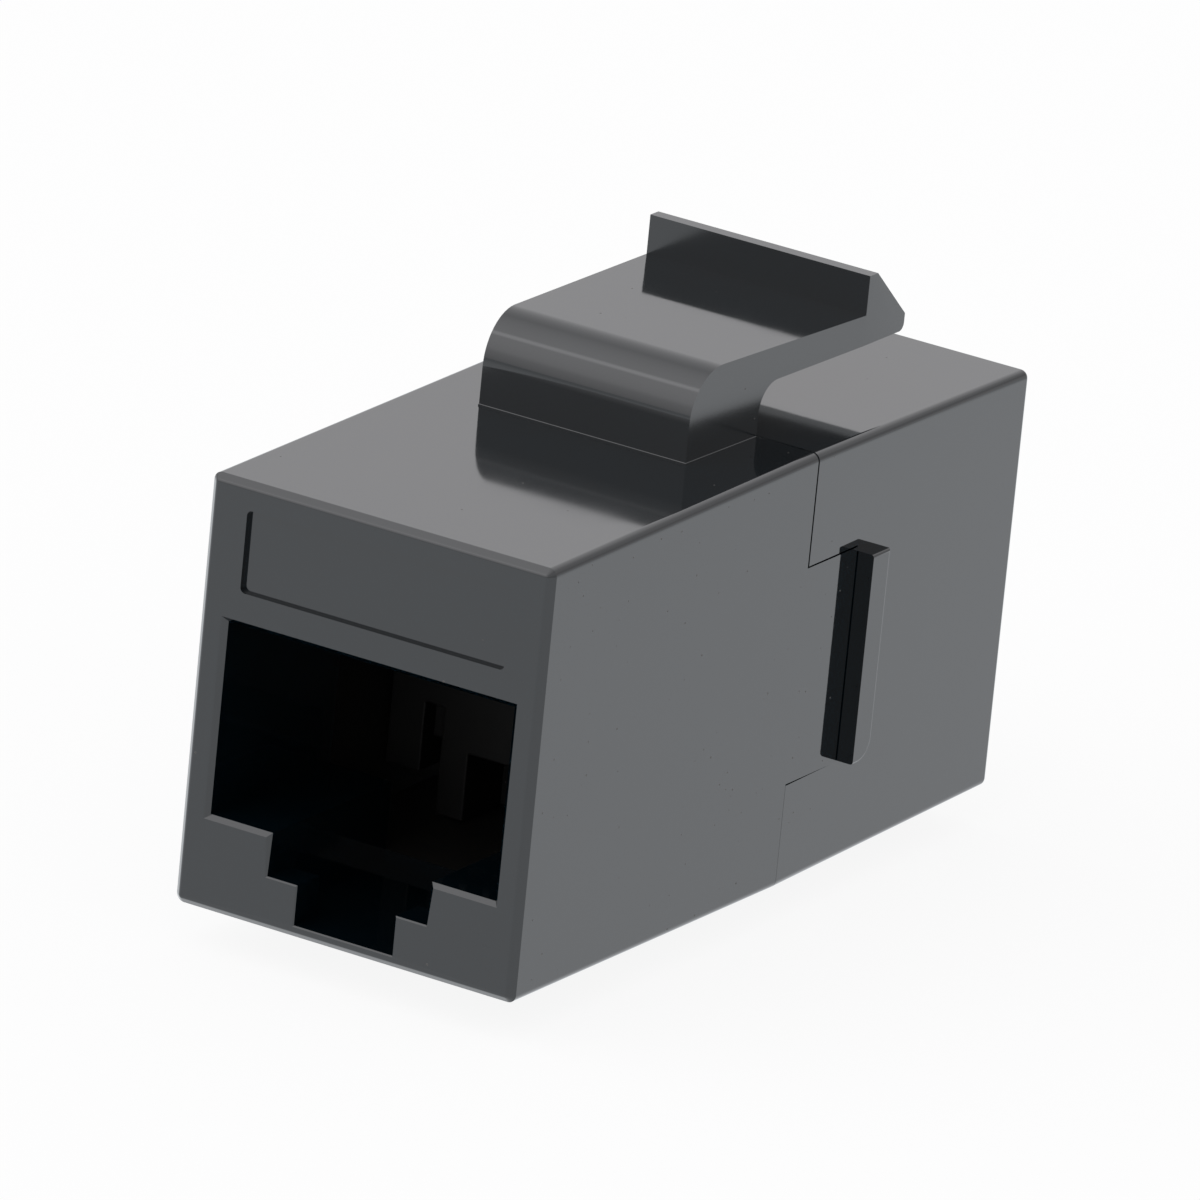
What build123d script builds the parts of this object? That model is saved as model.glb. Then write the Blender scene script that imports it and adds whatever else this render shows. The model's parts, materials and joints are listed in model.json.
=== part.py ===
from build123d import *
import os

# Keystone coupler: two modular sockets back to back in a snap-in body, in millimetres.
# X runs across the body, Y from the label face to the panel face, Z up.
# The origin is the centre of the label face; levels are counted from its lower edge.

# Body
body_width = 14.5
label_length = 17.85
panel_length = 15.17
seam_height = 16.72
label_top_draft = 0.22
label_bottom_draft = 0.16
panel_top_draft = 0.27
panel_bottom_draft = 0.18
panel_side_draft = 0.14
edge_radius = 0.33
face_radius = 0.18
panel_radius = 0.27
front_bevel = 0.25
seam_gap = 0.09
seam_inset = 0.4

# Socket
mouth_half = 6.08
mouth_floor = 3.62
mouth_ceiling = 10.93
mouth_bevel = 0.2
mouth_wall = 1.6
guide_depth = 8.0
pocket_half = 6.5
tab_half = 3.4
tab_floor = 2.0
slot_half = 2.1
slot_floor = 0.48
lip_depth = 1.5

# Label recess
label_width = 11.2
label_height = 3.1
label_middle = 13.75
label_depth = 0.2
label_radius = 0.2

# Circuit board and insert blocks
board_thickness = 1.2
board_bottom = 2.9
pocket_floor = 1.0
pocket_ceiling = 14.4
insert_clearance = 0.1
block_front = 12.3
block_bottom = 3.7
comb_front = 9.6
comb_bottom = 7.3
plate_front = 2.85
plate_thickness = 1.7
foot_inner = 2.9
foot_width = 1.2
key_groove = 0.8
key_groove_top = 5.2
post_bottom = 2.5
skirt_thickness = 1.0

# Contact springs, formed from flat wire
wire_width = 0.46
wire_thickness = 0.36
pitch = 1.02
contact_count = 8
groove_gap = 0.1
wire_under = 10.7
tip_depth = 10.9
tip_height = 7.9
row_drop = 1.3
jog_start = 12.8
jog_length = 1.2
wire_bend = 0.45
hole_gap = 0.05

# Latch, with its levels counted from the top of the body at the seam
root_front = 13.23
root_half = 4.42
tip_half = 4.74
ridge_half = 4.7
bend_radius = 1.9
bend_top = 3.35
arm_top = 3.13
arm_under = 1.95
inner_radius = 1.1
ridge_front = 24.6
ridge_top = 4.64
ridge_flat = 0.55
nose_end = 27.42
nose_top = 2.6
nose_radius = 0.25

# Side ribs, snap tongues and fixed hook
rib_front = 21.36
rib_thickness = 1.19
rib_proud = 0.7
rib_bottom = 3.95
rib_top = 12.05
rib_corner = 0.85
rib_radius = 0.12
tongue_bottom = 3.9
tongue_top = 12.2
tongue_gap = 0.06
nib_thickness = 0.36
nib_length = 0.95
nib_inset = 0.6
barb_start = 0.3
barb_height = 0.34
hook_front = 24.6
hook_half = 3.2
hook_height = 1.35
hook_flat = 0.6
hook_length = 2.6

# Places worked out from the sizes above
body_length = label_length + panel_length
middle_y = body_length / 2
half_width = body_width / 2
seam_top = seam_height / 2
base = label_bottom_draft - seam_top
wall = half_width - pocket_half
board_front = middle_y - board_thickness / 2
block_half = pocket_half - insert_clearance
block_top = pocket_ceiling - insert_clearance
foot_bottom = pocket_floor + insert_clearance
plate_bottom = mouth_ceiling + insert_clearance
plate_top = plate_bottom + plate_thickness
groove_half = wire_width / 2 + groove_gap
wire_half = wire_thickness / 2
wire_line = plate_top - wire_half - groove_gap
wire_front = plate_front - wire_half - groove_gap
tongue_end = rib_front - tongue_gap
hook_end = hook_front + hook_length
pocket_front = block_front - insert_clearance
key_side = foot_inner + foot_width + key_groove
post_width = block_half - key_side
arm_start = label_length + inner_radius
bend_centre = root_front + bend_radius
arm_fall = (bend_top - arm_top) / (ridge_front - bend_centre)
arm_level = bend_top - arm_fall * (arm_start - bend_centre)
nib_outer = pocket_half + nib_thickness
barb_outer = nib_outer + barb_height
catch_y = tongue_end + barb_start
nib_end = tongue_end + nib_length
comb_end = tip_depth + wire_width
rear_front = jog_start - groove_half
comb_ceiling = plate_bottom - wire_half
hole_radius = (wire_width**2 + wire_thickness**2) ** 0.5 / 2 + hole_gap

os.makedirs("parts", exist_ok=True)


def save(part, name):
    """Label a finished piece and write its file."""
    part.label = name
    export_step(part, f"parts/{name}.step")


def block_between(half_x, low, high, start, end, mode=Mode.ADD):
    """Box centred on X = 0 between two levels and two depths."""
    with Locations((0, (start + end) / 2, base + (low + high) / 2)):
        Box(2 * half_x, end - start, high - low, mode=mode)


def long_edges(body):
    """Edges of a body that run from its front face to its rear face."""
    ends = body.faces().sort_by(Axis.Y)
    return body.edges() - ends[0].edges() - ends[-1].edges()


def turned(part):
    """Copy of an insert piece turned half round about the middle of the coupler."""
    return Pos(0, 2 * middle_y, 0) * Rot(0, 0, 180) * part


def contact_x(number):
    """Place of one contact across the socket, counted from 0 on the -X side."""
    return pitch * (number - (contact_count - 1) / 2)


# Space of one socket, entered from Y = 0
with BuildPart() as socket_space:
    block_between(mouth_half, mouth_floor, mouth_ceiling, 0, pocket_front)
    block_between(tab_half, tab_floor, mouth_floor, 0, guide_depth)
    block_between(slot_half, slot_floor, tab_floor, 0, lip_depth)
    block_between(tab_half, slot_floor, tab_floor, lip_depth, guide_depth)
    block_between(pocket_half, pocket_floor, mouth_ceiling, guide_depth, pocket_front)
    block_between(pocket_half, mouth_ceiling, plate_top + insert_clearance, mouth_wall, pocket_front)
    with BuildSketch(Plane((0, 0, base), x_dir=(-1, 0, 0), z_dir=(0, 1, 0))):
        for half_x, low, high in (
            (mouth_half, mouth_floor, mouth_ceiling),
            (tab_half, tab_floor, mouth_floor),
            (slot_half, slot_floor, tab_floor),
        ):
            with Locations((0, (low + high) / 2)):
                Rectangle(2 * half_x, high - low)
        offset(amount=mouth_bevel, kind=Kind.INTERSECTION)
    extrude(amount=mouth_bevel, taper=45)

# Pocket of both inserts and the circuit board, shared by the two shells
with BuildPart() as insert_space:
    block_between(pocket_half, pocket_floor, pocket_ceiling, pocket_front, body_length - pocket_front)

# Snap tongue on the +X side: a flap flush in the side wall, its barbed nib caught in the rib
with BuildPart() as tongue:
    with BuildSketch(Plane.XY.offset(base + tongue_bottom)):
        with Locations((half_width - wall / 2, (label_length - wall + tongue_end) / 2)):
            Rectangle(wall, tongue_end - label_length + wall)
    extrude(amount=tongue_top - tongue_bottom)
    with BuildSketch(Plane.XY.offset(base + tongue_bottom + nib_inset)):
        with BuildLine():
            Polyline(
                (pocket_half, tongue_end - wall),
                (nib_outer, tongue_end - wall),
                (nib_outer, catch_y),
                (barb_outer, catch_y),
                (nib_outer, nib_end),
                (pocket_half, nib_end),
                close=True,
            )
        make_face()
    extrude(amount=tongue_top - tongue_bottom - 2 * nib_inset)

# Room for that tongue in the panel shell, open to the inside and closed by the rib
with BuildPart() as tongue_space:
    with BuildSketch(Plane.XY.offset(base + tongue_bottom - tongue_gap)):
        with Locations((half_width, (label_length - wall + rib_front) / 2)):
            Rectangle(2 * (wall + tongue_gap), rib_front - label_length + wall)
    extrude(amount=tongue_top - tongue_bottom + 2 * tongue_gap)
    with BuildSketch(Plane.XY.offset(base + tongue_bottom + nib_inset - tongue_gap)):
        with BuildLine():
            Polyline(
                (pocket_half - tongue_gap, rib_front - wall),
                (nib_outer + tongue_gap, rib_front - wall),
                (nib_outer + tongue_gap, catch_y - tongue_gap),
                (barb_outer + tongue_gap, catch_y - tongue_gap),
                (barb_outer + tongue_gap, nib_end),
                (nib_outer, nib_end + tongue_gap),
                (pocket_half - tongue_gap, nib_end + tongue_gap),
                close=True,
            )
        make_face()
    extrude(amount=tongue_top - tongue_bottom - 2 * (nib_inset - tongue_gap))

# Outline of the latch seen from above, widening from its foot to the catch ridge
with BuildSketch(Plane.XY.offset(seam_top - edge_radius)) as latch_plan:
    with BuildLine():
        Polyline(
            (root_half, root_front),
            (tip_half, ridge_front),
            (ridge_half, ridge_front),
            (ridge_half, nose_end),
            (-ridge_half, nose_end),
            (-ridge_half, ridge_front),
            (-tip_half, ridge_front),
            (-root_half, root_front),
            close=True,
        )
    make_face()

# Foot of the latch with its bend, up to where the arm begins
with BuildPart() as latch_foot:
    with BuildSketch(Plane.YZ):
        with BuildLine():
            Polyline(
                (label_length, seam_top + arm_under - inner_radius),
                (label_length, seam_top - edge_radius),
                (root_front, seam_top - edge_radius),
                (root_front, seam_top + bend_top - bend_radius),
            )
            CenterArc((bend_centre, seam_top + bend_top - bend_radius), bend_radius, 90, 90)
            Polyline(
                (bend_centre, seam_top + bend_top),
                (arm_start, seam_top + arm_level),
                (arm_start, seam_top + arm_under),
            )
            CenterArc((arm_start, seam_top + arm_under - inner_radius), inner_radius, 90, 90)
        make_face()
    extrude(amount=tip_half, both=True)
    extrude(latch_plan.sketch, amount=2 * ridge_top, mode=Mode.INTERSECT)

# Label shell: socket, label recess, snap tongues and the foot of the latch
with BuildPart() as label_shell:
    with BuildSketch(Plane.YZ):
        with BuildLine():
            Polyline(
                (0, base),
                (label_length, -seam_top),
                (label_length, seam_top),
                (0, seam_top - label_top_draft),
                close=True,
            )
        make_face()
    extrude(amount=half_width, both=True)
    fillet(long_edges(label_shell), edge_radius)
    chamfer(label_shell.faces().sort_by(Axis.Y)[0].edges().sort_by(Axis.Z)[-1], front_bevel)
    front_edges = label_shell.faces().sort_by(Axis.Y)[0].edges()
    fillet(front_edges.sort_by(Axis.Z)[:-1], face_radius)
    add(latch_foot.part)
    with BuildSketch(Plane.XZ):
        with Locations((0, base + label_middle)):
            RectangleRounded(label_width, label_height, label_radius)
    extrude(amount=-label_depth, mode=Mode.SUBTRACT)
    add(socket_space.part, mode=Mode.SUBTRACT)
    add(insert_space.part, mode=Mode.SUBTRACT)
    add(tongue.part)
    add(mirror(tongue.part, about=Plane.YZ, mode=Mode.PRIVATE))
save(label_shell.part, "label_shell")

# Latch arm: from the end of its inner bend to the nose, with the catch ridge across its tip
with BuildPart() as latch_arm:
    with BuildSketch(Plane.YZ):
        with BuildLine():
            Polyline(
                (arm_start, seam_top + arm_under),
                (arm_start, seam_top + arm_level),
                (ridge_front, seam_top + arm_top),
                (ridge_front, seam_top + ridge_top),
                (ridge_front + ridge_flat, seam_top + ridge_top),
                (nose_end, seam_top + nose_top),
                (nose_end, seam_top + arm_under),
                close=True,
            )
        make_face()
    extrude(amount=tip_half, both=True)
    nose_edges = latch_arm.faces().sort_by(Axis.Y)[-1].edges().filter_by(Axis.X)
    fillet(nose_edges, nose_radius)
    extrude(latch_plan.sketch, amount=2 * ridge_top, mode=Mode.INTERSECT)
save(latch_arm.part, "latch_arm")

# Side ribs, in one bar through the body: rounded at the panel's lower edge and along the outer faces
with BuildPart() as ribs:
    with BuildSketch(Plane.YZ):
        with Locations((rib_front + rib_thickness / 2, base + (rib_bottom + rib_top) / 2)):
            Rectangle(rib_thickness, rib_top - rib_bottom)
        fillet(vertices().sort_by(Axis.Y)[:2].sort_by(Axis.X)[-1], rib_corner)
    extrude(amount=half_width + rib_proud, both=True)
    outlines = [face.edges().sort_by(Axis.Y)[1:] for face in ribs.faces().filter_by(Axis.X)]
    fillet(outlines[0] + outlines[1], rib_radius)

# Panel shell: the second socket, the side ribs that stop it and the fixed hook below
with BuildPart() as panel_shell:
    with BuildSketch(Plane.XZ.offset(-label_length)):
        Rectangle(body_width, seam_height)
    with BuildSketch(Plane.XZ.offset(-body_length)):
        with Locations((0, (panel_bottom_draft - panel_top_draft) / 2)):
            Rectangle(body_width - 2 * panel_side_draft, seam_height - panel_top_draft - panel_bottom_draft)
    loft()
    fillet(long_edges(panel_shell), edge_radius)
    fillet(panel_shell.faces().sort_by(Axis.Y)[-1].edges(), panel_radius)
    with BuildSketch(Plane.XZ.offset(-label_length)):
        Rectangle(body_width, seam_height)
        Rectangle(body_width - 2 * seam_inset, seam_height - 2 * seam_inset, mode=Mode.SUBTRACT)
    extrude(amount=-seam_gap, mode=Mode.SUBTRACT)
    with BuildSketch(Plane.YZ.offset(-hook_half)):
        with BuildLine():
            Polyline(
                (hook_front, edge_radius - seam_top),
                (hook_front, -seam_top - hook_height),
                (hook_front + hook_flat, -seam_top - hook_height),
                (hook_end, -seam_top),
                (hook_end, edge_radius - seam_top),
                close=True,
            )
        make_face()
    extrude(amount=2 * hook_half)
    add(ribs.part)
    add(mirror(socket_space.part, about=Plane.XZ.offset(-middle_y), mode=Mode.PRIVATE), mode=Mode.SUBTRACT)
    add(insert_space.part, mode=Mode.SUBTRACT)
    add(tongue_space.part, mode=Mode.SUBTRACT)
    add(mirror(tongue_space.part, about=Plane.YZ, mode=Mode.PRIVATE), mode=Mode.SUBTRACT)
save(panel_shell.part, "panel_shell")

# Insert block behind the label socket: contact plate, comb for the contact tips, body and feet
with BuildPart() as label_block:
    block_between(block_half, block_bottom, block_top, block_front, board_front)
    block_between(block_half, plate_bottom, plate_top, plate_front, block_front)
    block_between(block_half, comb_bottom, plate_bottom, comb_front, block_front)
    foot_height = block_bottom - foot_bottom
    foot_depth = board_front - block_front
    with Locations((0, (block_front + board_front) / 2, base + (foot_bottom + block_bottom) / 2)):
        with GridLocations(2 * foot_inner + foot_width, 1, 2, 1):
            Box(foot_width, foot_depth, foot_height)
    block_between(foot_inner, foot_bottom, block_bottom, board_front - skirt_thickness, board_front)
    with Locations((0, (block_front + board_front) / 2, base + (post_bottom + block_bottom) / 2)):
        with GridLocations(2 * key_side + post_width, 1, 2, 1):
            Box(post_width, foot_depth, block_bottom - post_bottom)
    with Locations((0, block_front + key_groove / 2, base + (block_bottom + key_groove_top) / 2)):
        with GridLocations(2 * key_side - key_groove, 1, 2, 1):
            Box(key_groove, key_groove, key_groove_top - block_bottom, mode=Mode.SUBTRACT)
    for number in range(contact_count):
        column = contact_x(number)
        groove_floor = wire_line - wire_half - groove_gap
        with Locations((column, (plate_front + board_front) / 2, base + (groove_floor + block_top) / 2)):
            Box(2 * groove_half, board_front - plate_front, block_top - groove_floor, mode=Mode.SUBTRACT)
        rear_floor = groove_floor - row_drop * (number % 2)
        with Locations((column, (rear_front + board_front) / 2, base + (rear_floor + block_top) / 2)):
            Box(2 * groove_half, board_front - rear_front, block_top - rear_floor, mode=Mode.SUBTRACT)
        with Locations((column, (comb_front + comb_end) / 2, base + (comb_bottom + comb_ceiling) / 2)):
            Box(2 * groove_half, comb_end - comb_front, comb_ceiling - comb_bottom, mode=Mode.SUBTRACT)
save(label_block.part, "label_block")
save(turned(label_block.part), "panel_block")

# Circuit board between the blocks, drilled for two rows of wire tails
with BuildPart() as circuit_board:
    block_between(block_half, board_bottom, block_top, board_front, board_front + board_thickness)
    for row in range(2):
        with Locations(Plane.XZ.offset(-board_front)):
            with Locations((0, base + wire_line - row * row_drop)):
                with GridLocations(pitch, 1, contact_count, 1):
                    Hole(hole_radius)
save(circuit_board.part, "circuit_board")

# Contact springs: tail in the board, along the plate, round its front and back under it
for number in range(contact_count):
    line = wire_line - row_drop * (number % 2)
    tail = board_front + board_thickness
    corners = [(tail, line)]
    if number % 2:
        corners += [(jog_start + jog_length, line), (jog_start, wire_line)]
    corners += [(wire_front, wire_line), (wire_front, wire_under), (tip_depth, tip_height)]
    with BuildPart() as contact:
        with BuildLine(Plane.YZ.offset(contact_x(number))) as path:
            FilletPolyline(*[(depth, base + level) for depth, level in corners], radius=wire_bend)
        with BuildSketch(Plane(path.line @ 0, x_dir=(1, 0, 0), z_dir=path.line % 0)):
            Rectangle(wire_width, wire_thickness)
        sweep()
    save(contact.part, f"label_contact_{number + 1}")
    save(turned(contact.part), f"panel_contact_{number + 1}")
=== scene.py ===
"""Keystone coupler: its moulded plastic, contacts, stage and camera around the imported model."""

import json
import math

import bmesh
import bpy
from mathutils import Matrix, Vector

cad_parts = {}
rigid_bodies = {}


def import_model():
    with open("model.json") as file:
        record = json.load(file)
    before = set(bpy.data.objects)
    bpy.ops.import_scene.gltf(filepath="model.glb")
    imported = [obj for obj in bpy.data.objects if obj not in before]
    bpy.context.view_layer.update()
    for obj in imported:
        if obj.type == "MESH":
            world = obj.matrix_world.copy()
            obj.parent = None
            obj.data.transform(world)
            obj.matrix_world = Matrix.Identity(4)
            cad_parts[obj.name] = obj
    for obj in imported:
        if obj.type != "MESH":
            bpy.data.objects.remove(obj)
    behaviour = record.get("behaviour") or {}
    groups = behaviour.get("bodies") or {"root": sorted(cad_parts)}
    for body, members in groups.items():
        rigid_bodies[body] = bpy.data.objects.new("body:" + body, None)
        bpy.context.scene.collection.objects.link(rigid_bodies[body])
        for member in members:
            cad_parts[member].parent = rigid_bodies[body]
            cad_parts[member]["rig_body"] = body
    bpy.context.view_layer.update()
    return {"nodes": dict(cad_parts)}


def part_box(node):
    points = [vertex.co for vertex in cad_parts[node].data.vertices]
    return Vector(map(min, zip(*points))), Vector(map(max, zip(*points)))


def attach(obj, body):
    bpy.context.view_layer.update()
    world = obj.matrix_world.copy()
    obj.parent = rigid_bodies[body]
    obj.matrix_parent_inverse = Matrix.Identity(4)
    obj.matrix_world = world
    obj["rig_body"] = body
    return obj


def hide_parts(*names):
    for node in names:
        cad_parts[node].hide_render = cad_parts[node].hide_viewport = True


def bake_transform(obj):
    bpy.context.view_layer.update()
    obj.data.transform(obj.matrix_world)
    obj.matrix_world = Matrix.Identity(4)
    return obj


bl_info = {
    "name": "Keystone Coupler",
    "version": (1, 0, 0),
    "blender": (4, 5, 0),
    "location": "View3D > Sidebar > Coupler",
    "description": "Dresses a snap-in socket coupler and sets its stage",
    "category": "Object",
}

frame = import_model()
MM = 0.001

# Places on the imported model
LABEL_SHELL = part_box("label_shell")
PANEL_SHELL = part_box("panel_shell")
LATCH_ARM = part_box("latch_arm")
CONTACT_NODES = sorted(name for name in frame["nodes"] if "_contact_" in name)
SEAM_Y = PANEL_SHELL[0].y
BODY_TOP = PANEL_SHELL[1].z
FLOOR_Z = PANEL_SHELL[0].z - 0.02 * MM
LABEL_FLOOR = -8.2 * MM
RIB_Y = 21.36 * MM
TONGUE_UNDER = -4.36 * MM

# Gaps between the shells, and what is left of them where the shells meet more tightly
SEAM_GAP = 0.09 * MM
TONGUE_GAP = 0.06 * MM
TIGHT_GAP = 0.015 * MM

# Flare of the mouth: the levels and the places across where it is finer, and by how much
MOUTH_BEVEL = 0.2 * MM
TAB_STEPS = ((0.27 * MM, 2.05 * MM), (2.05 * MM, 3.65 * MM), 0.15 * MM)
LEDGES = ((3.4 * MM, 3.65 * MM), (3.35 * MM, 6.4 * MM), 0.03 * MM)
SLACK = 0.01 * MM

# Space of the sockets, where the mould isn't polished and the plastic is painted darker as shade in the
# recess: middle level, half width, half height and first depth
CAVITY_LEVEL = -0.6 * MM
CAVITY_HALF = 6.7 * MM
CAVITY_RISE = 6.85 * MM
CAVITY_START = 8.02 * MM

# Merging, shading and rounding of the meshes
MERGE_DISTANCE = 0.002 * MM
FLAT_ANGLE = math.radians(0.6)
CRISP_ANGLE = math.radians(32)
ROUNDED_ANGLE = math.radians(28)
BLUNT_ANGLE = math.radians(60)
INNER_WEIGHT = 0.3
SHELL_WEIGHT = 0.4
RIDGE_WEIGHT = 0.35
EDGE_SEGMENTS = 3

# Steps of the latch's outline, its depth in the body and the length over which it bends
ARC_STEPS = 14
ARM_STEPS = 16
ROOT_SINK = 0.3 * MM
BEND_LENGTH = 2.2 * MM

# Finishes
WHITE = (1.0, 1.0, 1.0, 1.0)
PLASTIC_IOR = 1.58
DUST_CELLS = 2200.0
DUST_SIZE = 0.09
DUST_RARITY = 0.9
DUST_ROUGHNESS = 0.9

# Studio: sines of the heights between which the walls' dim foot ends, and where the floor fades in gloss
LOW_WALLS = (0.24, 0.36)
FLOOR_FADE = (0.08, 0.3)
LAMP_KEYS = ("azimuth", "elevation", "spread", "level")


class StageSettings(bpy.types.PropertyGroup):
    """The camera's place, as the photograph was taken, the floor and the light."""

    azimuth: bpy.props.FloatProperty(
        name="Azimuth",
        description="Turn of the camera about the upright",
        default=math.radians(30.51),
        subtype="ANGLE",
    )
    elevation: bpy.props.FloatProperty(
        name="Elevation",
        description="Height of the camera over the horizon",
        default=math.radians(18.80),
        subtype="ANGLE",
    )
    roll: bpy.props.FloatProperty(
        name="Roll",
        description="Turn of the picture about the line of sight",
        default=math.radians(5.644),
        subtype="ANGLE",
    )
    distance: bpy.props.FloatProperty(
        name="Distance", description="Camera to the middle of the body", default=0.6108, unit="LENGTH"
    )
    target_y: bpy.props.FloatProperty(
        name="Target depth",
        description="Point looked at, behind the label face",
        default=0.0139,
        unit="LENGTH",
    )
    shift_right: bpy.props.FloatProperty(
        name="Slide right", description="Camera moved to its right", default=0.001076, unit="LENGTH"
    )
    shift_up: bpy.props.FloatProperty(
        name="Slide up", description="Camera moved to its top", default=0.001736, unit="LENGTH"
    )
    lens: bpy.props.FloatProperty(
        name="Lens", description="Focal length on a 36 mm sensor, in mm", default=506.4
    )
    floor_size: bpy.props.FloatProperty(
        name="Floor", description="Side of the square floor", default=6.0, unit="LENGTH"
    )
    floor_tone: bpy.props.FloatVectorProperty(
        name="Floor tone", description="Colour of the floor", default=(0.9, 0.9, 0.9), subtype="COLOR"
    )
    floor_white: bpy.props.FloatProperty(
        name="Floor white",
        description="Share of plain white in the floor, the rest shows the shadow",
        default=0.9,
    )
    sky_level: bpy.props.FloatProperty(
        name="Sky", description="Strength of the soft light all round", default=0.75
    )
    surround_level: bpy.props.FloatProperty(
        name="Surround",
        description="White of the studio's walls where gloss shows them",
        default=1.27,
    )
    low_level: bpy.props.FloatProperty(
        name="Low walls", description="Strength that the walls lose near the floor", default=0.27
    )
    floor_gloss: bpy.props.FloatProperty(
        name="Floor in gloss",
        description="White of the floor near the object where gloss shows it",
        default=1.42,
    )
    floor_far: bpy.props.FloatProperty(
        name="Far floor in gloss",
        description="White of the floor further off where gloss shows it",
        default=1.0,
    )
    floor_tint: bpy.props.FloatVectorProperty(
        name="Floor tint",
        description="Cool cast of the floor in gloss",
        default=(0.97, 1.0, 1.035),
        subtype="COLOR",
        max=2.0,
    )
    sky_tone: bpy.props.FloatVectorProperty(
        name="Sky tone",
        description="Colour of the studio light",
        default=(1.01, 1.0, 1.02),
        subtype="COLOR",
        max=2.0,
    )
    shade_azimuth: bpy.props.FloatProperty(
        name="Shade azimuth",
        description="Turn of the darker end of the backdrop",
        default=math.radians(152),
        subtype="ANGLE",
    )
    shade_elevation: bpy.props.FloatProperty(
        name="Shade elevation",
        description="Height of the darker end of the backdrop",
        default=math.radians(25),
        subtype="ANGLE",
    )
    shade_spread: bpy.props.FloatProperty(
        name="Shade spread",
        description="Angle at which the darker end has faded away",
        default=math.radians(26),
        subtype="ANGLE",
    )
    shade_level: bpy.props.FloatProperty(
        name="Shade", description="Strength that the darker end takes away", default=0.35
    )
    softbox_azimuth: bpy.props.FloatProperty(
        name="Softbox azimuth",
        description="Turn of the large softbox",
        default=math.radians(-40),
        subtype="ANGLE",
    )
    softbox_elevation: bpy.props.FloatProperty(
        name="Softbox elevation",
        description="Height of the large softbox",
        default=math.radians(42),
        subtype="ANGLE",
    )
    softbox_spread: bpy.props.FloatProperty(
        name="Softbox spread",
        description="Angle at which the softbox has faded away",
        default=math.radians(53),
        subtype="ANGLE",
    )
    softbox_level: bpy.props.FloatProperty(
        name="Softbox", description="Strength that the softbox adds at its middle", default=1.1
    )
    lamp_azimuth: bpy.props.FloatProperty(
        name="Lamp azimuth",
        description="Turn of the bulb behind the softbox",
        default=math.radians(-46),
        subtype="ANGLE",
    )
    lamp_elevation: bpy.props.FloatProperty(
        name="Lamp elevation",
        description="Height of the bulb behind the softbox",
        default=math.radians(49),
        subtype="ANGLE",
    )
    lamp_spread: bpy.props.FloatProperty(
        name="Lamp spread",
        description="Angle at which the bulb has faded away",
        default=math.radians(5),
        subtype="ANGLE",
    )
    lamp_level: bpy.props.FloatProperty(
        name="Lamp", description="Strength that the bulb adds", default=1.1
    )


class PlasticSettings(bpy.types.PropertyGroup):
    """Colours, edges and roughness of the pieces."""

    housing_tone: bpy.props.FloatVectorProperty(
        name="Housing",
        description="Black plastic of the shells",
        default=(0.0008, 0.0030, 0.0046),
        subtype="COLOR",
    )
    insert_tone: bpy.props.FloatVectorProperty(
        name="Insert",
        description="Black plastic of the insert blocks",
        default=(0.0011, 0.0012, 0.0013),
        subtype="COLOR",
    )
    # Painted shade: a darker black given to the plastic inside the sockets' recesses
    cavity_shade_tone: bpy.props.FloatVectorProperty(
        name="Cavities",
        description="Black plastic inside the sockets",
        default=(0.0012, 0.0013, 0.0013),
        subtype="COLOR",
    )
    board_tone: bpy.props.FloatVectorProperty(
        name="Board",
        description="Lacquer of the circuit board",
        default=(0.01, 0.09, 0.035),
        subtype="COLOR",
    )
    contact_tone: bpy.props.FloatVectorProperty(
        name="Contacts",
        description="Gold plating of the contacts",
        default=(0.83, 0.58, 0.22),
        subtype="COLOR",
    )
    dust_tone: bpy.props.FloatVectorProperty(
        name="Dust",
        description="Colour of the specks of dust",
        default=(0.09, 0.085, 0.08),
        subtype="COLOR",
    )
    edge_radius: bpy.props.FloatProperty(
        name="Edge",
        description="Rounding left by the mould on sharp edges",
        default=0.00007,
        unit="LENGTH",
    )
    insert_edge: bpy.props.FloatProperty(
        name="Insert edge",
        description="Rounding of the insert blocks' edges",
        default=0.00008,
        unit="LENGTH",
    )
    contact_edge: bpy.props.FloatProperty(
        name="Contact edge",
        description="Rounding of the contact wire's edges",
        default=0.00008,
        unit="LENGTH",
    )
    latch_edge: bpy.props.FloatProperty(
        name="Latch edge", description="Rounding of the latch's edges", default=0.0002, unit="LENGTH"
    )
    panel_roughness: bpy.props.FloatProperty(
        name="Panel roughness",
        description="Roughness of the panel shell, from a more polished mould",
        default=0.04,
    )
    wall_roughness: bpy.props.FloatProperty(
        name="Wall roughness", description="Roughness of the latch's flat walls", default=0.17
    )
    core_roughness: bpy.props.FloatProperty(
        name="Core roughness",
        description="Roughness of the cavities, where the mould isn't polished",
        default=0.6,
    )


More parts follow.
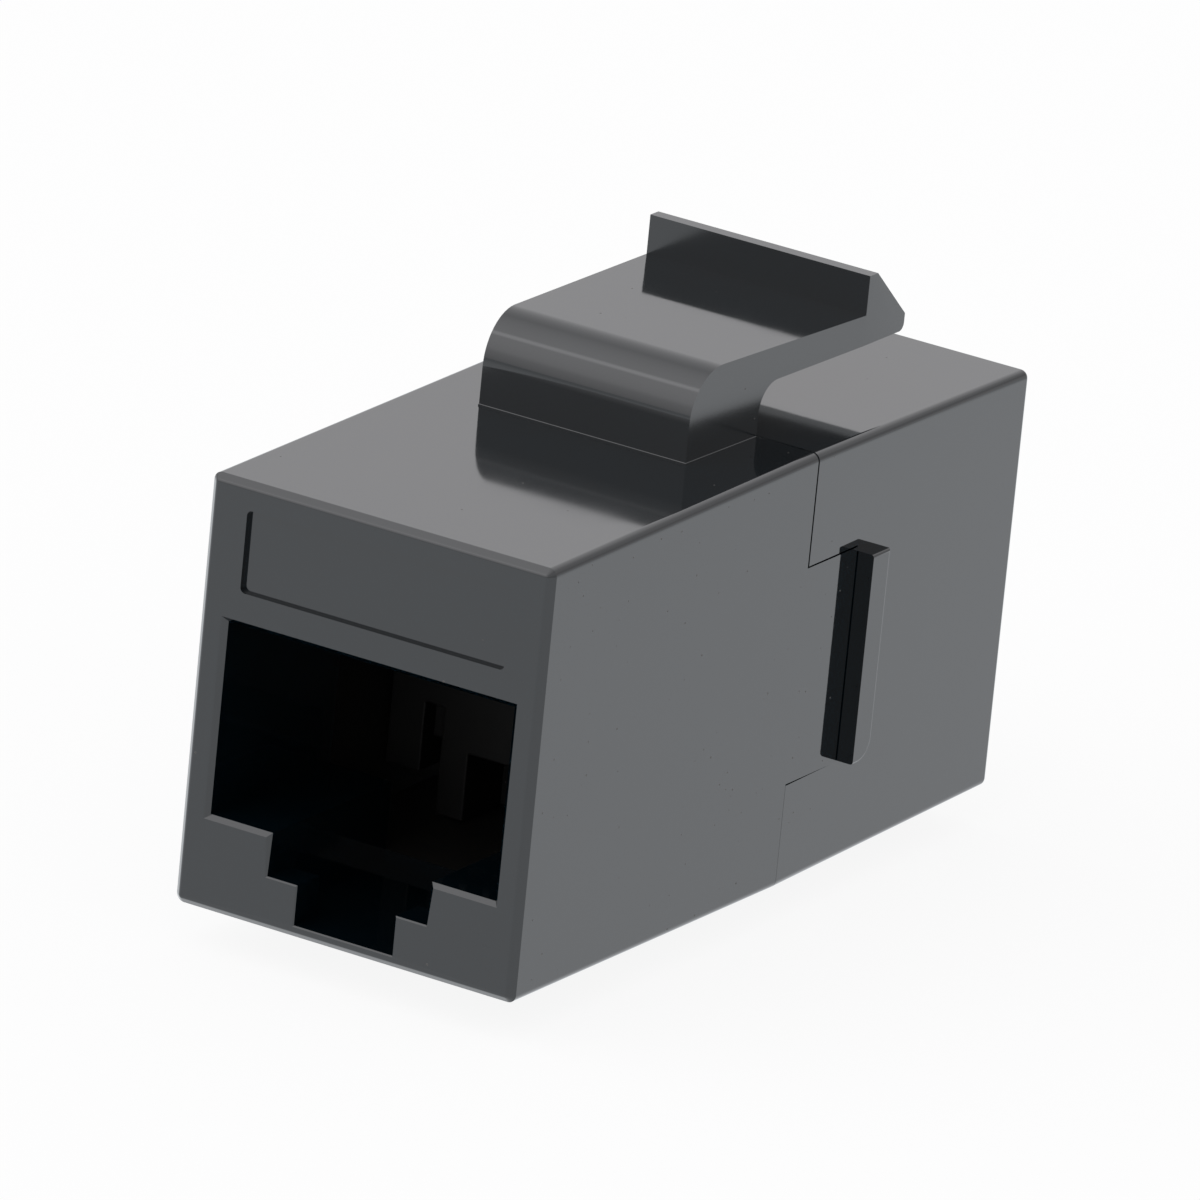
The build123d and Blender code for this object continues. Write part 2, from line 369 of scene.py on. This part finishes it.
class LatchSettings(bpy.types.PropertyGroup):
    """Shape of the latch: depths from the label face, and rises from the body's top at the seam."""

    root_front: bpy.props.FloatProperty(
        name="Root front", description="Depth of the root's front wall", default=0.01323, unit="LENGTH"
    )
    root_half: bpy.props.FloatProperty(
        name="Root half width",
        description="Half the width of the latch at its root",
        default=0.00442,
        unit="LENGTH",
    )
    bend_radius: bpy.props.FloatProperty(
        name="Bend", description="Outer radius of the bend", default=0.0019, unit="LENGTH"
    )
    bend_rise: bpy.props.FloatProperty(
        name="Bend rise", description="Top of the arm at the bend", default=0.00335, unit="LENGTH"
    )
    inner_radius: bpy.props.FloatProperty(
        name="Inner bend", description="Radius under the arm", default=0.0011, unit="LENGTH"
    )
    arm_rise: bpy.props.FloatProperty(
        name="Arm rise", description="Top of the arm at the ridge", default=0.00313, unit="LENGTH"
    )
    ridge_front: bpy.props.FloatProperty(
        name="Ridge front",
        description="Depth of the ridge's catching wall",
        default=0.0246,
        unit="LENGTH",
    )
    ridge_flat: bpy.props.FloatProperty(
        name="Ridge flat",
        description="Depth of the flat on top of the ridge",
        default=0.00055,
        unit="LENGTH",
    )
    foot_flare: bpy.props.FloatProperty(
        name="Foot flare",
        description="Fillet where the latch's root meets the body",
        default=0.00002,
        unit="LENGTH",
    )
    nose_radius: bpy.props.FloatProperty(
        name="Nose radius", description="Rounding under the nose", default=0.0003, unit="LENGTH"
    )
    nose_rise: bpy.props.FloatProperty(
        name="Nose rise", description="Top of the nose's end wall", default=0.0026, unit="LENGTH"
    )


def settings():
    """The three groups of settings of this scene."""
    scene = bpy.context.scene
    return scene.coupler_stage, scene.coupler_plastic, scene.coupler_latch


def linked(name, data):
    """A new object for a mesh or a camera, in the scene's collection."""
    piece = bpy.data.objects.new(name, data)
    bpy.context.scene.collection.objects.link(piece)
    return piece


def soft_fans(vert):
    """The faces round a corner, in fans that no sharp edge divides."""
    left = list(vert.link_faces)
    fans = []
    while left:
        fan = [left.pop()]
        for face in fan:
            for edge in vert.link_edges:
                if edge.smooth and face in edge.link_faces:
                    near = [other for other in edge.link_faces if other in left]
                    fan += near
                    left = [other for other in left if other not in near]
        fans.append(fan)
    return fans


def shade(mesh):
    """Smooth shading, crisp on sharp edges and weighed by face area, so that flat faces stay flat."""
    mesh.shade_smooth()
    mesh.set_sharp_from_angle(angle=CRISP_ANGLE)
    shape = bmesh.new()
    shape.from_mesh(mesh)
    normals = [Vector((0, 0, 1))] * len(mesh.loops)
    for vert in shape.verts:
        for fan in soft_fans(vert):
            normal = sum((face.normal * face.calc_area() for face in fan), Vector()).normalized()
            for face in fan:
                corner = [loop.vert for loop in face.loops].index(vert)
                normals[mesh.polygons[face.index].loop_start + corner] = normal
    shape.free()
    mesh.normals_split_custom_set(normals)


def room(face):
    """Width of a face across its longest edge."""
    return face.calc_area() / max(edge.calc_length() for edge in face.edges)


def weigh_edges(shape, width, square):
    """Mark sharp edges for rounding: blunt ones in full, square and inner ones less, tight ones least."""
    weight = shape.edges.layers.float.new("bevel_weight_edge")
    for edge in shape.edges:
        turn = edge.calc_face_angle(0.0)
        if turn > ROUNDED_ANGLE:
            outer = 1.0 if turn < BLUNT_ANGLE else square
            third = min(room(face) for face in edge.link_faces) / 3
            edge[weight] = min(third / width, outer if edge.is_convex else INNER_WEIGHT)


def rounded(piece, width):
    """Round the marked edges of a piece, and keep the outcome as its mesh."""
    bevel = piece.modifiers.new("mould_edge", "BEVEL")
    bevel.width = width
    bevel.segments = EDGE_SEGMENTS
    bevel.limit_method = "WEIGHT"
    bevel.miter_outer = "MITER_ARC"
    sharp = piece.data
    drawn = piece.evaluated_get(bpy.context.evaluated_depsgraph_get())
    piece.data = bpy.data.meshes.new_from_object(drawn)
    piece.modifiers.clear()
    bpy.data.meshes.remove(sharp)
    piece.data.name = piece.name


def node_copy(node):
    """A bmesh of a CAD node with its triangles merged into flat faces."""
    shape = bmesh.new()
    shape.from_mesh(frame["nodes"][node].data)
    bmesh.ops.remove_doubles(shape, verts=shape.verts, dist=MERGE_DISTANCE)
    bmesh.ops.dissolve_limit(
        shape, angle_limit=FLAT_ANGLE, verts=shape.verts, edges=shape.edges, delimit={"NORMAL"}
    )
    return shape


def ease_mouth(shape, face_y, inward):
    """Make the mouth's flare finer at the ledges and finest at the tab slot's steps."""
    for vert in shape.verts:
        depth = (vert.co.y - face_y) * inward
        level = vert.co.z - LABEL_FLOOR
        across = abs(vert.co.x)
        for (low, high), (near, far), pull in (TAB_STEPS, LEDGES):
            if depth > MOUTH_BEVEL + SLACK or not (low < level < high and near < across < far):
                continue
            if depth < SLACK:
                vert.co.x -= math.copysign(pull, vert.co.x)
                vert.co.z += pull
            else:
                vert.co.y -= inward * pull


def close_seam(shape):
    """Draw the seam and the gap under the tongues together in the lower half."""
    for vert in shape.verts:
        if abs(vert.co.y - SEAM_Y - SEAM_GAP) < SLACK and vert.co.z < 0:
            vert.co.y = SEAM_Y + TIGHT_GAP
        elif abs(vert.co.z - TONGUE_UNDER) < SLACK and SEAM_Y - 2 * MM < vert.co.y < RIB_Y + 0.1 * MM:
            vert.co.z += TONGUE_GAP - TIGHT_GAP


def finished(shape, name, node, material, width=0.0, square=1.0, tune=None, bend=None):
    """Turn a bmesh into the shown piece that stands for a CAD node, rounded, and held by its body unless a
    bend is given, which leaves it baked in place and unheld.
    """
    if width:
        weigh_edges(shape, width, square)
    mesh = bpy.data.meshes.new(name)
    shape.to_mesh(mesh)
    shape.free()
    for layer in ("custom_normal", "sharp_edge", "sharp_face"):
        if layer in mesh.attributes:
            mesh.attributes.remove(mesh.attributes[layer])
    mesh.materials.clear()
    mesh.materials.append(material)
    piece = linked(name, mesh)
    if tune:
        tune(mesh)
    if width:
        rounded(piece, width)
    shade(piece.data)
    if bend:
        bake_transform(piece)
    else:
        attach(piece, frame["nodes"][node]["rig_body"])
    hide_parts(node)


def opaque(tone, gain=1.0):
    """A colour for a node, made lighter or darker by a gain."""
    return (*(value * gain for value in tone), 1.0)


def new_material(name):
    """A node material with its tree, its shader and the spot on the piece that patterns read."""
    material = bpy.data.materials.new(name)
    material.use_nodes = True
    tree = material.node_tree
    spot = tree.nodes.new("ShaderNodeTexCoord").outputs["Object"]
    return material, tree, tree.nodes["Principled BSDF"], spot


def feed(tree, socket, value):
    """Link an input to a socket, or set it to a constant."""
    if isinstance(value, bpy.types.NodeSocket):
        tree.links.new(value, socket)
    else:
        socket.default_value = value


def placed(tree, kind, spot, **values):
    """A node that reads a place or a direction, with some of its inputs set."""
    node = tree.nodes.new(kind)
    for key, value in values.items():
        node.inputs[key].default_value = value
    tree.links.new(spot, node.inputs["Vector"])
    return node


def noise(tree, spot, scale, detail=3.0):
    """Noise over the piece, in features per metre."""
    return placed(tree, "ShaderNodeTexNoise", spot, Scale=scale, Detail=detail).outputs["Fac"]


def ranged(tree, source, start, end, low, high):
    """Map a value from one range onto another, and hold it at the ends."""
    mapping = tree.nodes.new("ShaderNodeMapRange")
    keys = ("Value", "From Min", "From Max", "To Min", "To Max")
    for key, value in zip(keys, (source, start, end, low, high)):
        feed(tree, mapping.inputs[key], value)
    return mapping.outputs["Result"]


def spread(tree, source, low, high):
    """Map a noise onto a range of values."""
    return ranged(tree, source, 0.3, 0.7, low, high)


def mixed(tree, kind, factor, first, second):
    """Mix two values or colours, each a socket or a constant."""
    mix = tree.nodes.new("ShaderNodeMix")
    mix.data_type = kind
    for key, value in (("Factor", factor), ("A", first), ("B", second)):
        feed(tree, mix.inputs[key], value)
    return mix.outputs["Result"]


def calculation(tree, operation, *values):
    """A sum on values, each a socket or a number."""
    step = tree.nodes.new("ShaderNodeMath")
    step.operation = operation
    for socket, value in zip(step.inputs, values):
        feed(tree, socket, value)
    return step.outputs["Value"]


def vector_sum(tree, operation, *values):
    """A sum on vectors, each a socket or a constant."""
    step = tree.nodes.new("ShaderNodeVectorMath")
    step.operation = operation
    for socket, value in zip(step.inputs, values):
        feed(tree, socket, value)
    return step.outputs["Value" if operation in ("DOT_PRODUCT", "LENGTH") else "Vector"]


def relief(tree, shader, height, strength, distance):
    """Fine relief on the shader's normal."""
    bump = tree.nodes.new("ShaderNodeBump")
    bump.inputs["Strength"].default_value = strength
    bump.inputs["Distance"].default_value = distance
    tree.links.new(height, bump.inputs["Height"])
    tree.links.new(bump.outputs["Normal"], shader.inputs["Normal"])


def within(tree, spot, centre, half):
    """One inside a box in the piece's own coordinates, and nought outside it."""
    reach = vector_sum(tree, "ABSOLUTE", vector_sum(tree, "SUBTRACT", spot, centre))
    past = placed(tree, "ShaderNodeSeparateXYZ", vector_sum(tree, "SUBTRACT", reach, half))
    widest = calculation(tree, "MAXIMUM", past.outputs["X"], past.outputs["Y"])
    return calculation(tree, "LESS_THAN", calculation(tree, "MAXIMUM", widest, past.outputs["Z"]), 0.0)


def dust(tree, spot):
    """One on a few specks of dust, and nought elsewhere."""
    cells = placed(tree, "ShaderNodeTexVoronoi", spot, Scale=DUST_CELLS)
    pick = tree.nodes.new("ShaderNodeSeparateColor")
    tree.links.new(cells.outputs["Color"], pick.inputs["Color"])
    size = calculation(tree, "MULTIPLY", pick.outputs["Green"], DUST_SIZE)
    speck = calculation(tree, "LESS_THAN", cells.outputs["Distance"], size)
    return calculation(
        tree, "MULTIPLY", speck, calculation(tree, "GREATER_THAN", pick.outputs["Red"], DUST_RARITY)
    )


def moulded_plastic(name, tone, low, high, gloss_level):
    """Moulded plastic: gloss that wanders a little, matt in the cavities and painted darker there as shade,
    with a few specks of dust.
    """
    material, tree, shader, spot = new_material(name)
    plastic = settings()[1]
    cloud = noise(tree, spot, 420.0, 4.0)
    grain = noise(tree, spot, 9000.0, 2.0)
    wave = noise(tree, spot, 160.0, 2.0)
    specks = dust(tree, spot)
    middle = (LABEL_SHELL[0].y + PANEL_SHELL[1].y) / 2
    # Box of the sockets' recesses: made rougher, and painted darker as shade
    shaded_cavity = within(
        tree, spot, (0, middle, CAVITY_LEVEL), (CAVITY_HALF, middle - CAVITY_START, CAVITY_RISE)
    )
    deep = (PANEL_SHELL[1].y - SEAM_Y) / 2
    panel = within(tree, spot, (0, SEAM_Y + deep, 0), (10 * MM, deep + SLACK, BODY_TOP + 5 * SLACK))
    wall = tree.nodes.new("ShaderNodeAttribute")
    wall.attribute_name = "flat_wall"
    colour = mixed(tree, "RGBA", spread(tree, cloud, 0.0, 1.0), opaque(tone), opaque(tone, 1.3))
    # Painted shade in the cavities, then specks of dust
    for mask, patch in ((shaded_cavity, plastic.cavity_shade_tone), (specks, plastic.dust_tone)):
        colour = mixed(tree, "RGBA", mask, colour, opaque(patch))
    tree.links.new(colour, shader.inputs["Base Color"])
    roughness = spread(tree, cloud, low, high)
    for mask, patch in (
        (panel, plastic.panel_roughness),
        (wall.outputs["Fac"], plastic.wall_roughness),
        (shaded_cavity, plastic.core_roughness),
        (specks, DUST_ROUGHNESS),
    ):
        roughness = mixed(tree, "FLOAT", mask, roughness, patch)
    tree.links.new(roughness, shader.inputs["Roughness"])
    relief(tree, shader, calculation(tree, "MULTIPLY_ADD", grain, 0.03, wave), 0.25, 0.02 * MM)
    shader.inputs["IOR"].default_value = PLASTIC_IOR
    shader.inputs["Specular IOR Level"].default_value = gloss_level
    return material


def board_lacquer(name, tone):
    """Circuit board: green lacquer over a woven core."""
    material, tree, shader, spot = new_material(name)
    weave = placed(tree, "ShaderNodeTexChecker", spot, Scale=2500.0).outputs["Fac"]
    tree.links.new(mixed(tree, "RGBA", weave, opaque(tone), opaque(tone, 0.75)), shader.inputs["Base Color"])
    tree.links.new(spread(tree, noise(tree, spot, 600.0), 0.25, 0.4), shader.inputs["Roughness"])
    relief(tree, shader, weave, 0.2, 0.005 * MM)
    return material


def gold_plating(name, tone):
    """Contacts: gold over spring bronze, with the marks that drawing left along the wire."""
    material, tree, shader, spot = new_material(name)
    stretch = placed(tree, "ShaderNodeMapping", spot, Scale=(9000.0, 500.0, 9000.0))
    marks = noise(tree, stretch.outputs["Vector"], 1.0, 2.0)
    paler = opaque(min(1.0, value * 1.1 + 0.03) for value in tone)
    colour = mixed(tree, "RGBA", spread(tree, marks, 0.0, 1.0), opaque(tone), paler)
    tree.links.new(colour, shader.inputs["Base Color"])
    tree.links.new(spread(tree, marks, 0.2, 0.26), shader.inputs["Roughness"])
    relief(tree, shader, marks, 0.05, 0.002 * MM)
    shader.inputs["Metallic"].default_value = 1.0
    return material


def named_material(name):
    """A finish of this scene, made the first time that it is asked for."""
    if name in bpy.data.materials:
        return bpy.data.materials[name]
    plastic = settings()[1]
    if name == "housing_plastic":
        return moulded_plastic(name, plastic.housing_tone, 0.055, 0.095, 0.5)
    if name == "insert_plastic":
        return moulded_plastic(name, plastic.insert_tone, 0.3, 0.42, 0.3)
    if name == "board_lacquer":
        return board_lacquer(name, plastic.board_tone)
    return gold_plating(name, plastic.contact_tone)


class COUPLER_OT_shells(bpy.types.Operator):
    """Dress the label shell and the panel shell in moulded plastic"""

    bl_idname = "coupler.shells"
    bl_label = "Shells"

    def execute(self, context):
        width = settings()[1].edge_radius
        plain = named_material("housing_plastic")
        label = node_copy("label_shell")
        foot = [vert for vert in label.verts if vert.co.z > BODY_TOP + 2 * SLACK]
        bmesh.ops.delete(label, geom=foot, context="VERTS")
        rim = [edge for edge in label.edges if edge.is_boundary]
        bmesh.ops.holes_fill(label, edges=rim, sides=0)
        ease_mouth(label, LABEL_SHELL[0].y, 1)
        finished(label, "label_housing", "label_shell", plain, width, SHELL_WEIGHT)
        panel = node_copy("panel_shell")
        close_seam(panel)
        ease_mouth(panel, PANEL_SHELL[1].y, -1)
        finished(panel, "panel_housing", "panel_shell", plain, width, SHELL_WEIGHT)
        return {"FINISHED"}


def arc(depth, rise, radius, start, end):
    """Points of an arc in the latch's outline, between two angles in degrees."""
    turns = [math.radians(start + (end - start) * step / ARC_STEPS) for step in range(ARC_STEPS + 1)]
    return [(depth + radius * math.cos(turn), rise + radius * math.sin(turn)) for turn in turns]


def straight(start, end):
    """Points of a straight run in the latch's outline, up to its end but without it."""
    shares = [step / ARM_STEPS for step in range(ARM_STEPS)]
    return [tuple(first + (last - first) * share for first, last in zip(start, end)) for share in shares]


def latch_outline(latch, bend_y, inner_y, under):
    """Outline of the latch and its root in depth and rise, from the root over the arm and back under it."""
    nose = LATCH_ARM[1].y
    ridge_rise = LATCH_ARM[1].z - BODY_TOP
    outline = [(SEAM_Y, -ROOT_SINK), (latch.root_front, -ROOT_SINK)]
    outline += arc(bend_y, latch.bend_rise - latch.bend_radius, latch.bend_radius, 180, 90)
    outline += straight((bend_y, latch.bend_rise), (latch.ridge_front, latch.arm_rise))[1:]
    outline += [
        (latch.ridge_front, latch.arm_rise),
        (latch.ridge_front, ridge_rise),
        (latch.ridge_front + latch.ridge_flat, ridge_rise),
        (nose, latch.nose_rise),
    ]
    outline += arc(nose - latch.nose_radius, under + latch.nose_radius, latch.nose_radius, 0, -90)
    outline += straight((latch.ridge_front, under), (inner_y, under))
    outline += arc(inner_y, under - latch.inner_radius, latch.inner_radius, 90, 180)
    return outline


def widen_latch(shape, latch, bend_y):
    """Give the latch its width, which grows from the root to the ridge, and the fillet of its foot."""
    tip_half = LATCH_ARM[1].x
    for vert in shape.verts:
        share = (vert.co.y - latch.root_front) / (latch.ridge_front - latch.root_front)
        half = latch.root_half + (tip_half - latch.root_half) * min(1.0, share)
        if vert.co.z < BODY_TOP + SLACK / 10:
            half += latch.foot_flare
            if vert.co.y < bend_y:
                vert.co.y -= latch.foot_flare
        vert.co.x = half if vert.co.x > 0.5 else -half


def ease_latch(mesh):
    """Round the latch's sides in full and its ridge less, and leave the fillet of its foot as it is."""
    latch = settings()[2]
    weight = mesh.attributes["bevel_weight_edge"].data
    for edge in mesh.edges:
        ends = [mesh.vertices[index].co for index in edge.vertices]
        if weight[edge.index].value > 0 and ends[0].x * ends[1].x > 0:
            weight[edge.index].value = 1.0
        if max(end.z for end in ends) < BODY_TOP + 2 * latch.foot_flare:
            weight[edge.index].value = 0.0
        elif min(end.y for end in ends) > latch.ridge_front - 0.1 * MM:
            weight[edge.index].value *= RIDGE_WEIGHT


class COUPLER_OT_latch(bpy.types.Operator):
    """Model the latch in one with its root"""

    bl_idname = "coupler.latch"
    bl_label = "Latch"

    def execute(self, context):
        plastic, latch = settings()[1:]
        under = LATCH_ARM[0].z - BODY_TOP
        bend_y = latch.root_front + latch.bend_radius
        inner_y = SEAM_Y + latch.inner_radius
        shape = bmesh.new()
        outline = latch_outline(latch, bend_y, inner_y, under)
        side = shape.faces.new([shape.verts.new((0.0, depth, BODY_TOP + rise)) for depth, rise in outline])
        grown = bmesh.ops.extrude_face_region(shape, geom=[side])
        far = [item for item in grown["geom"] if isinstance(item, bmesh.types.BMVert)]
        bmesh.ops.translate(shape, verts=far, vec=(1.0, 0.0, 0.0))
        for place, normal in (
            ((0, latch.ridge_front, 0), (0, 1, 0)),
            ((0, 0, BODY_TOP), (0, 0, 1)),
            ((0, 0, BODY_TOP + latch.foot_flare), (0, 0, 1)),
        ):
            whole = shape.verts[:] + shape.edges[:] + shape.faces[:]
            bmesh.ops.bisect_plane(shape, geom=whole, plane_co=place, plane_no=normal)
        widen_latch(shape, latch, bend_y)
        bmesh.ops.recalc_face_normals(shape, faces=shape.faces)
        matt = shape.faces.layers.float.new("flat_wall")
        for face in shape.faces:
            face[matt] = 1.0 if abs(face.normal.x) > 0.9 or face.normal.y < -0.9995 else 0.0
        bend = [(0, depth, BODY_TOP + under) for depth in (SEAM_Y, inner_y + BEND_LENGTH)]
        plain = named_material("housing_plastic")
        width = plastic.latch_edge
        finished(shape, "latch", "latch_arm", plain, width, tune=ease_latch, bend=bend)
        return {"FINISHED"}


class COUPLER_OT_inserts(bpy.types.Operator):
    """Dress the two insert blocks and the circuit board between them"""

    bl_idname = "coupler.inserts"
    bl_label = "Inserts"

    def execute(self, context):
        width = settings()[1].insert_edge
        plain = named_material("insert_plastic")
        for node in ("label_block", "panel_block"):
            finished(node_copy(node), node.replace("block", "insert"), node, plain, width)
        lacquer = named_material("board_lacquer")
        finished(node_copy("circuit_board"), "board", "circuit_board", lacquer)
        return {"FINISHED"}


class COUPLER_OT_contacts(bpy.types.Operator):
    """Dress the sixteen contact springs in gold plating"""

    bl_idname = "coupler.contacts"
    bl_label = "Contacts"

    def execute(self, context):
        width = settings()[1].contact_edge
        gold = named_material("gold_plating")
        for node in CONTACT_NODES:
            finished(node_copy(node), node.replace("contact", "spring"), node, gold, width)
        return {"FINISHED"}


def toward(azimuth, elevation):
    """Direction seen from the object: azimuth 0 lies in front of the label face."""
    level = math.cos(elevation)
    return Vector((math.sin(azimuth) * level, -math.cos(azimuth) * level, math.sin(elevation)))


def ray_kinds(tree):
    """One for the camera's rays, and one for rays that gloss or clear plastic sends on."""
    path = tree.nodes.new("ShaderNodeLightPath").outputs
    sent_on = calculation(tree, "MAXIMUM", path["Is Glossy Ray"], path["Is Transmission Ray"])
    return path["Is Camera Ray"], sent_on


def glow(tree, direction, stage, lamp, sign):
    """Light that a lamp adds or takes away, fading from its middle to its spread."""
    azimuth, elevation, fade, level = (getattr(stage, f"{lamp}_{key}") for key in LAMP_KEYS)
    facing = vector_sum(tree, "DOT_PRODUCT", direction, toward(azimuth, elevation))
    return ranged(tree, facing, math.cos(fade), 1.0, 0.0, sign * level)


def studio_light(stage):
    """White studio with one large softbox at the front left, and white behind the object."""
    world = bpy.data.worlds.new("studio_light")
    world.use_nodes = True
    tree = world.node_tree
    background = tree.nodes["Background"]
    around = tree.nodes.new("ShaderNodeTexCoord").outputs["Generated"]
    camera, mirrored = ray_kinds(tree)
    height = placed(tree, "ShaderNodeSeparateXYZ", around).outputs["Z"]
    extra = calculation(tree, "MULTIPLY", mirrored, stage.surround_level - stage.sky_level)
    light = calculation(tree, "ADD", extra, stage.sky_level)
    lamps = [glow(tree, around, stage, *lamp) for lamp in (("softbox", 1), ("lamp", 1), ("shade", -1))]
    for part in (*lamps, ranged(tree, height, *LOW_WALLS, -stage.low_level, 0.0)):
        light = calculation(tree, "ADD", light, part)
    tree.links.new(mixed(tree, "FLOAT", camera, light, 1.0), background.inputs["Strength"])
    tree.links.new(mixed(tree, "RGBA", camera, opaque(stage.sky_tone), WHITE), background.inputs["Color"])
    return world


def floor_paint(stage):
    """Pale floor: white with a faint shadow to the camera and in gloss, pale to all other light."""
    material, tree, shader, spot = new_material("studio_floor")
    shader.inputs["Base Color"].default_value = opaque(stage.floor_tone)
    shader.inputs["Roughness"].default_value = 0.9
    shader.inputs["Specular IOR Level"].default_value = 0.0
    camera, mirrored = ray_kinds(tree)
    reach = vector_sum(tree, "LENGTH", spot)
    gloss = ranged(tree, reach, *FLOOR_FADE, stage.floor_gloss - 1.0, stage.floor_far - 1.0)
    strength = calculation(tree, "ADD", calculation(tree, "MULTIPLY", mirrored, gloss), 1.0)
    white = tree.nodes.new("ShaderNodeEmission")
    tree.links.new(strength, white.inputs["Strength"])
    tree.links.new(mixed(tree, "RGBA", mirrored, WHITE, opaque(stage.floor_tint)), white.inputs["Color"])
    share = calculation(tree, "MULTIPLY", calculation(tree, "MAXIMUM", camera, mirrored), stage.floor_white)
    mix = tree.nodes.new("ShaderNodeMixShader")
    for socket, source in zip(mix.inputs, (share, shader.outputs["BSDF"], white.outputs["Emission"])):
        tree.links.new(source, socket)
    tree.links.new(mix.outputs["Shader"], tree.nodes["Material Output"].inputs["Surface"])
    return material


def photo_camera(stage):
    """The camera, placed and turned as the photograph was taken."""
    back = toward(stage.azimuth, stage.elevation)
    level = Vector((math.cos(stage.azimuth), math.sin(stage.azimuth), 0.0))
    upright = back.cross(level)
    right = math.cos(stage.roll) * level + math.sin(stage.roll) * upright
    top = math.cos(stage.roll) * upright - math.sin(stage.roll) * level
    eye = Vector((0, stage.target_y, 0)) + stage.distance * back
    eye += stage.shift_right * right + stage.shift_up * top
    camera = bpy.data.cameras.new("camera")
    camera.sensor_width = 36.0
    camera.lens = stage.lens
    camera.clip_start = 0.01
    camera.clip_end = 20.0
    holder = linked("camera", camera)
    holder.matrix_world = Matrix.Translation(eye) @ Matrix((right, top, back)).transposed().to_4x4()
    return holder


class COUPLER_OT_stage(bpy.types.Operator):
    """Set the floor, the soft light all round and the camera"""

    bl_idname = "coupler.stage"
    bl_label = "Stage"

    def execute(self, context):
        stage = settings()[0]
        shape = bmesh.new()
        bmesh.ops.create_grid(shape, x_segments=1, y_segments=1, size=stage.floor_size / 2)
        bmesh.ops.translate(shape, verts=shape.verts, vec=(0, 0, FLOOR_Z))
        mesh = bpy.data.meshes.new("studio_floor")
        shape.to_mesh(mesh)
        shape.free()
        mesh.materials.append(floor_paint(stage))
        linked("studio_floor", mesh)
        context.scene.world = studio_light(stage)
        context.scene.camera = photo_camera(stage)
        context.scene.view_settings.view_transform = "Standard"
        return {"FINISHED"}


class COUPLER_PT_panel(bpy.types.Panel):
    """Lists the coupler's settings and steps"""

    bl_label = "Keystone Coupler"
    bl_idname = "COUPLER_PT_panel"
    bl_space_type = "VIEW_3D"
    bl_region_type = "UI"
    bl_category = "Coupler"

    def draw(self, context):
        for group in settings():
            column = self.layout.column(align=True)
            for key in type(group).__annotations__:
                column.prop(group, key)
        for step in STEPS:
            self.layout.operator(step.bl_idname)


STEPS = (COUPLER_OT_shells, COUPLER_OT_latch, COUPLER_OT_inserts, COUPLER_OT_contacts, COUPLER_OT_stage)
GROUPS = {"coupler_stage": StageSettings, "coupler_plastic": PlasticSettings, "coupler_latch": LatchSettings}


def register():
    """Register the classes and hang the settings on the scene."""
    for kind in (*GROUPS.values(), *STEPS, COUPLER_PT_panel):
        bpy.utils.register_class(kind)
    for key, kind in GROUPS.items():
        setattr(bpy.types.Scene, key, bpy.props.PointerProperty(type=kind))


def unregister():
    """Take the settings and classes away again."""
    for key in GROUPS:
        delattr(bpy.types.Scene, key)
    for kind in reversed((*GROUPS.values(), *STEPS, COUPLER_PT_panel)):
        bpy.utils.unregister_class(kind)


def main():
    """Build the coupler and its stage."""
    register()
    bpy.ops.coupler.shells()
    bpy.ops.coupler.latch()
    bpy.ops.coupler.inserts()
    bpy.ops.coupler.contacts()
    bpy.ops.coupler.stage()
    bpy.context.view_layer.update()


if __name__ == "__main__":
    main()
